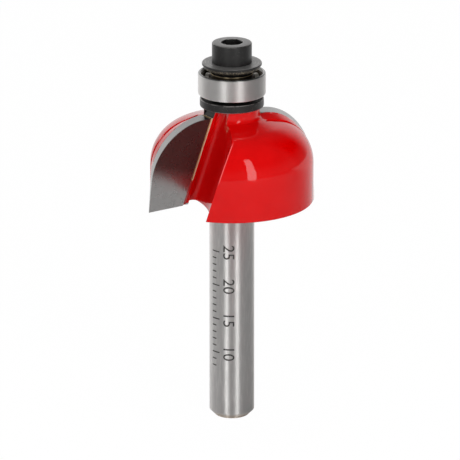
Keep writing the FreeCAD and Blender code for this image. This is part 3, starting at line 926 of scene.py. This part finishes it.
def ring_finish():
    """Steel ground round the axis, with painted shade inside, a painted highlight on the inner ring's top
    edge and a painted dark reflection on the outer ring's top chamfer.
    """
    finish = Finish("ground_bearing_steel")
    patch = finish.noise(1.2, 2)
    rings = finish.noise(0.05, 2, (0.02, 0.02, 1))
    # painted shade: the recess between the rings is painted dark brown
    recess = (1 - finish.radius.above(4.36, 4.44)) * finish.radius.above(2.4, 2.5)
    # painted highlight: a light golden line along the inner ring's top edge
    rim = finish.near_ring(BOSS_R - 0.03, BEARING_TOP - 0.03, 0.14)
    # painted reflection: the outer ring's top chamfer is painted dark grey and made glossier
    corner = finish.near_ring(BEARING_R - 0.16, BEARING_TOP - 0.02, 0.2)
    recess_shade = finish.tint((0.07, 0.055, 0.035, 1), (0.75, 0.62, 0.42, 1), rim)
    colour = finish.tint(grey(0.8648, 0.02), grey(0.94, 0.02), patch)
    return finish.surface(
        Base_Color=finish.tint(finish.tint(colour, grey(0.22), corner), recess_shade, recess),
        Metallic=1.0,
        Roughness=0.62 + patch * 0.06 - corner * 0.3,
        Anisotropic=0.95,
        Anisotropic_Rotation=0.25,
        Normal=finish.bump(rings * 0.003 + finish.turning_lines(1 / 14) * 0.003),
    )


def polished_finish():
    finish = Finish("polished_ball_steel")
    haze = finish.noise(0.25, 2)
    return finish.surface(
        Base_Color=grey(0.95), Metallic=1.0, Roughness=0.22 + haze * 0.08, Normal=finish.bump(haze * 0.0004),
    )


def pressed_finish():
    finish = Finish("pressed_cage_steel")
    haze = finish.noise(0.3, 3)
    return finish.surface(
        Base_Color=finish.tint((0.62, 0.58, 0.52, 1), (0.85, 0.82, 0.76, 1), haze),
        Metallic=1.0,
        Roughness=0.28 + haze * 0.15,
        Normal=finish.bump(haze * 0.004),
    )


def etched_finish():
    finish = Finish("etched_mark")
    grain = finish.noise(0.12, 3)
    return finish.surface(
        Base_Color=finish.tint(grey(0.025, 0.05), grey(0.14, 0.05), grain.above(0.4, 0.75)),
        Metallic=0.3,
        Roughness=0.5 + grain * 0.2,
    )


# %% [markdown]
# ## Put the pieces on their bodies
# Each piece goes from millimetres to metres, gets its finish and rides on its body. It
# stands for the solid of the same part, which stays in the simulation. The two halves of
# the cage are shown as the solids they are, so they only get a finish.

# %% Dress the model
def dress(piece, material, body, slot, *nodes):
    """Bring a piece to metres, give it a finish and put it on its body."""
    piece.data.transform(Matrix.Scale(MM, 4))
    piece.data.materials.clear()
    piece.data.materials.append(material)
    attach(piece, body)
    if nodes:
        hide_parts(*nodes)


dress(cutter, cutter_finish(), "bit", "head_paint", "cutter_body")
carbide, braze = carbide_finish(), braze_finish()
for number, tip, seam in ((1, tip_1, seam_1), (2, tip_2, seam_2)):
    dress(tip, carbide, "bit", "carbide", f"carbide_tip_{number}")
    dress(seam, braze, "bit", "braze", f"braze_seam_{number}")
worn = {
    "spacer": [(COLLAR_R - 0.05, COLLAR_BASE + 0.05), (COLLAR_R - 0.05, COLLAR_BASE + 1.1)],
    "washer": [(WASHER_R - 0.13, WASHER_TOP), (3.3, WASHER_TOP), (3.75, WASHER_TOP)],
    "screw": [(SCREW_HEAD_R - 0.1, SCREW_TOP - 0.06), (1.65, SCREW_TOP - 0.02)],
}
washer_brown = (BEARING_TOP + 0.5, BEARING_TOP + 1.07)
collar_oxide = oxide_finish("oxide_spacer", worn["spacer"], BEARING_BASE)
washer_oxide = oxide_finish("oxide_washer", worn["washer"], WASHER_TOP, washer_brown)
screw_oxide = oxide_finish("oxide_screw", worn["screw"], SCREW_TOP)
dress(collar, collar_oxide, "bit", "black_oxide", "spacer_collar")
dress(washer, washer_oxide, "bit", "black_oxide", "retaining_washer")
dress(screw, screw_oxide, "bit", "black_oxide", "cap_screw")
bearing_steel = ring_finish()
dress(inner_ring, bearing_steel, "bit", "bearing_steel", "bearing_inner_ring")
dress(outer_ring, bearing_steel, "bearing_race", "bearing_steel", "bearing_outer_ring")

polished = polished_finish()
for number in range(1, BALLS + 1):
    ball = grown(f"steel_ball_{number}", ball_graph, {
        "Count": BALLS, "Number": number - 1, "Pitch radius": PITCH_R, "Ball radius": BALL_R,
        "Lead": math.radians(BALL_LEAD), "Height": BEARING_MID, "Finish": polished,
    })
    dress(ball, polished, f"ball_{number}", "ball_steel", f"bearing_ball_{number}")

pressed = pressed_finish()
for name in ("cage_half_upper", "cage_half_lower"):
    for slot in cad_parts[name].material_slots:
        slot.material = pressed

etched = etched_finish()
ticks = grown("depth_ticks", tick_graph, {
    "Count": 18, "First": 8, "Every": 5, "Length": 0.8, "Width": 0.17, "Radius": MARK_R,
    "Lead": CAMERA_SIDE + math.radians(-58), "Finish": etched,
})
dress(ticks, etched, "bit", "head_paint")
for piece in numbers:
    dress(piece, etched, "bit", "head_paint")

# %% [markdown]
# ## Studio
# A pale floor, a large soft lamp overhead, a smaller one in front, and two tall soft boxes,
# one on each side of the camera. The boxes draw the two bright lines down the shank and the
# bearing, and the soft window on the enamel.

# %% Floor
TOWARD_CAMERA = Vector((math.cos(CAMERA_SIDE), math.sin(CAMERA_SIDE), 0))
floor_mesh = bpy.data.meshes.new("floor")
floor_mesh.from_pydata([(-3, -3, 0), (3, -3, 0), (3, 3, 0), (-3, 3, 0)], [], [(0, 1, 2, 3)])
floor = bpy.data.objects.new("floor", floor_mesh)
bpy.context.collection.objects.link(floor)


def floor_finish():
    """Pale paper that shows plain white to the camera, apart from a soft shadow.

    Polished steel and enamel see it white as well, but only behind the object.
    """
    finish = Finish("pale_floor")
    grain = finish.noise(2.0, 2)
    paper = finish.node("ShaderNodeBsdfDiffuse", sockets=[finish.tint(grey(0.66), grey(0.69), grain)])
    white = finish.node("ShaderNodeEmission", sockets=[(1, 1, 1, 1), 1.015])
    to_camera = finish.node("ShaderNodeLightPath", output="Is Camera Ray")
    glossy = finish.node("ShaderNodeLightPath", output="Is Glossy Ray")
    rear = (finish.x * -TOWARD_CAMERA.x + finish.y * -TOWARD_CAMERA.y).above(20, 120)
    lit = (to_camera * 0.97).most(glossy * rear * 0.9)
    mixed = finish.node("ShaderNodeMixShader", sockets=[lit, paper, white])
    finish.node("ShaderNodeOutputMaterial", sockets=[mixed])
    return finish.material


floor_mesh.materials.append(floor_finish())

# %% [markdown]
# The room is a dim grey with a white wall behind the object and a lighter side on the left.
# Low on the right it is darkest, which shades the dome's far side. The camera itself sees
# plain white in every direction.

# %% Room
world = bpy.data.worlds.new("studio")
world.use_nodes = True
world.node_tree.nodes.clear()
room = Graph(world.node_tree)
direction = room.node("ShaderNodeTexCoord", output="Generated")


def toward(x, y):
    """How far a ray's direction points along a level line, from -1 to 1."""
    return room.node("ShaderNodeVectorMath", {"operation": "DOT_PRODUCT"}, [direction, (x, y, 0)], "Value")


away = toward(-TOWARD_CAMERA.x, -TOWARD_CAMERA.y)
left = toward(TOWARD_CAMERA.y, -TOWARD_CAMERA.x)
rise = room.node("ShaderNodeSeparateXYZ", sockets=[direction], output=2)
wall = (away + left * 0.2).above(0.45, 0.85) * (1 - rise.above(0.42, 0.66))
dark_side = (-left).above(0.3, 0.8) * rise.above(-0.1, 0.15) * away.above(0.05, 0.35)
light_side = left.above(0.55, 0.95) * (1 - rise.above(0.4, 0.7))
level = 0.27 - rise.above(0.1, 0.5) * 0.18 + wall * 0.85 - dark_side * 0.14 + light_side * 0.45
to_camera = room.node("ShaderNodeLightPath", output="Is Camera Ray")
level = level + to_camera * (1 - level)
sky = room.node("ShaderNodeBackground", sockets={"Color": room.vector(level, level, level), "Strength": 1.0})
room.node("ShaderNodeOutputWorld", sockets=[sky])
bpy.context.scene.world = world

# %% Lamps
HEAD_CENTRE = 0.04


def hang(lamp, outward, place):
    """Put a lamp at a place, shining back along its outward direction."""
    holder = bpy.data.objects.new(lamp.name, lamp)
    holder.location = place
    holder.rotation_euler = outward.to_track_quat("Z", "Y").to_euler()
    bpy.context.collection.objects.link(holder)
    return holder


def soft_box(name, turn_deg, low_deg, high_deg, distance, width, radiance):
    """A tall lamp at a turn from the camera's side, between two heights seen from the head."""
    turn = CAMERA_SIDE + math.radians(turn_deg)
    low = HEAD_CENTRE + distance * math.tan(math.radians(low_deg))
    high = HEAD_CENTRE + distance * math.tan(math.radians(high_deg))
    lamp = bpy.data.lights.new(name, "AREA")
    lamp.shape = "RECTANGLE"
    lamp.size = width
    lamp.size_y = high - low
    lamp.energy = radiance * math.pi * width * (high - low)
    outward = Vector((math.cos(turn), math.sin(turn), 0))
    hang(lamp, outward, outward * distance + Vector((0, 0, (low + high) / 2)))


def soft_disk(name, outward, distance, radius, radiance):
    """A round lamp that lights the object without showing in its polish."""
    lamp = bpy.data.lights.new(name, "AREA")
    lamp.shape = "DISK"
    lamp.size = 2 * radius
    lamp.energy = radiance * math.pi * math.pi * radius ** 2
    hang(lamp, outward, outward * distance).visible_glossy = False


soft_box("box_left", -27, -4, 49, 0.5, 0.105, 4.5)
soft_box("box_right", 28, -4, 49, 0.5, 0.105, 4.5)
soft_disk("top", Vector((0, 0, 1)), 0.9, 0.4, 1.5)
fill_turn = CAMERA_SIDE + 0.5
soft_disk("front_fill", Vector((math.cos(fill_turn), math.sin(fill_turn), 0.3)).normalized(), 0.8, 0.25, 3.8)
print("lamps:", [lamp.name for lamp in bpy.data.lights])

# %% [markdown]
# ## Camera
# The camera stands well back, a little above the head, as the photograph's perspective
# shows. It is aimed so that the head's underside falls where it does in the photograph.

# %% Camera
CAMERA_RISE = math.radians(17.716)
CAMERA_DISTANCE = 0.8773
FOCAL_PIXELS = 6227.7
PICTURE = 460
OFF_X, OFF_Y = PICTURE / 2 - 231.885, PICTURE / 2 - 198.828
side = Vector((-TOWARD_CAMERA.y, TOWARD_CAMERA.x, 0))
back = TOWARD_CAMERA * math.cos(CAMERA_RISE) + Vector((0, 0, math.sin(CAMERA_RISE)))
up = back.cross(side)
look = -back + side * (OFF_X / FOCAL_PIXELS) - up * (OFF_Y / FOCAL_PIXELS)
lens = bpy.data.cameras.new("camera")
lens.sensor_width = 36
lens.lens = 36 * FOCAL_PIXELS / PICTURE
lens.clip_start, lens.clip_end = 0.01, 20
camera = bpy.data.objects.new("camera", lens)
camera.location = Vector((0, 0, HEAD * MM)) + back * CAMERA_DISTANCE
camera.rotation_euler = look.to_track_quat("-Z", "Y").to_euler()
bpy.context.collection.objects.link(camera)
bpy.context.scene.camera = camera
bpy.context.scene.view_settings.view_transform = "Standard"
print("lens:", round(lens.lens, 1), "mm")
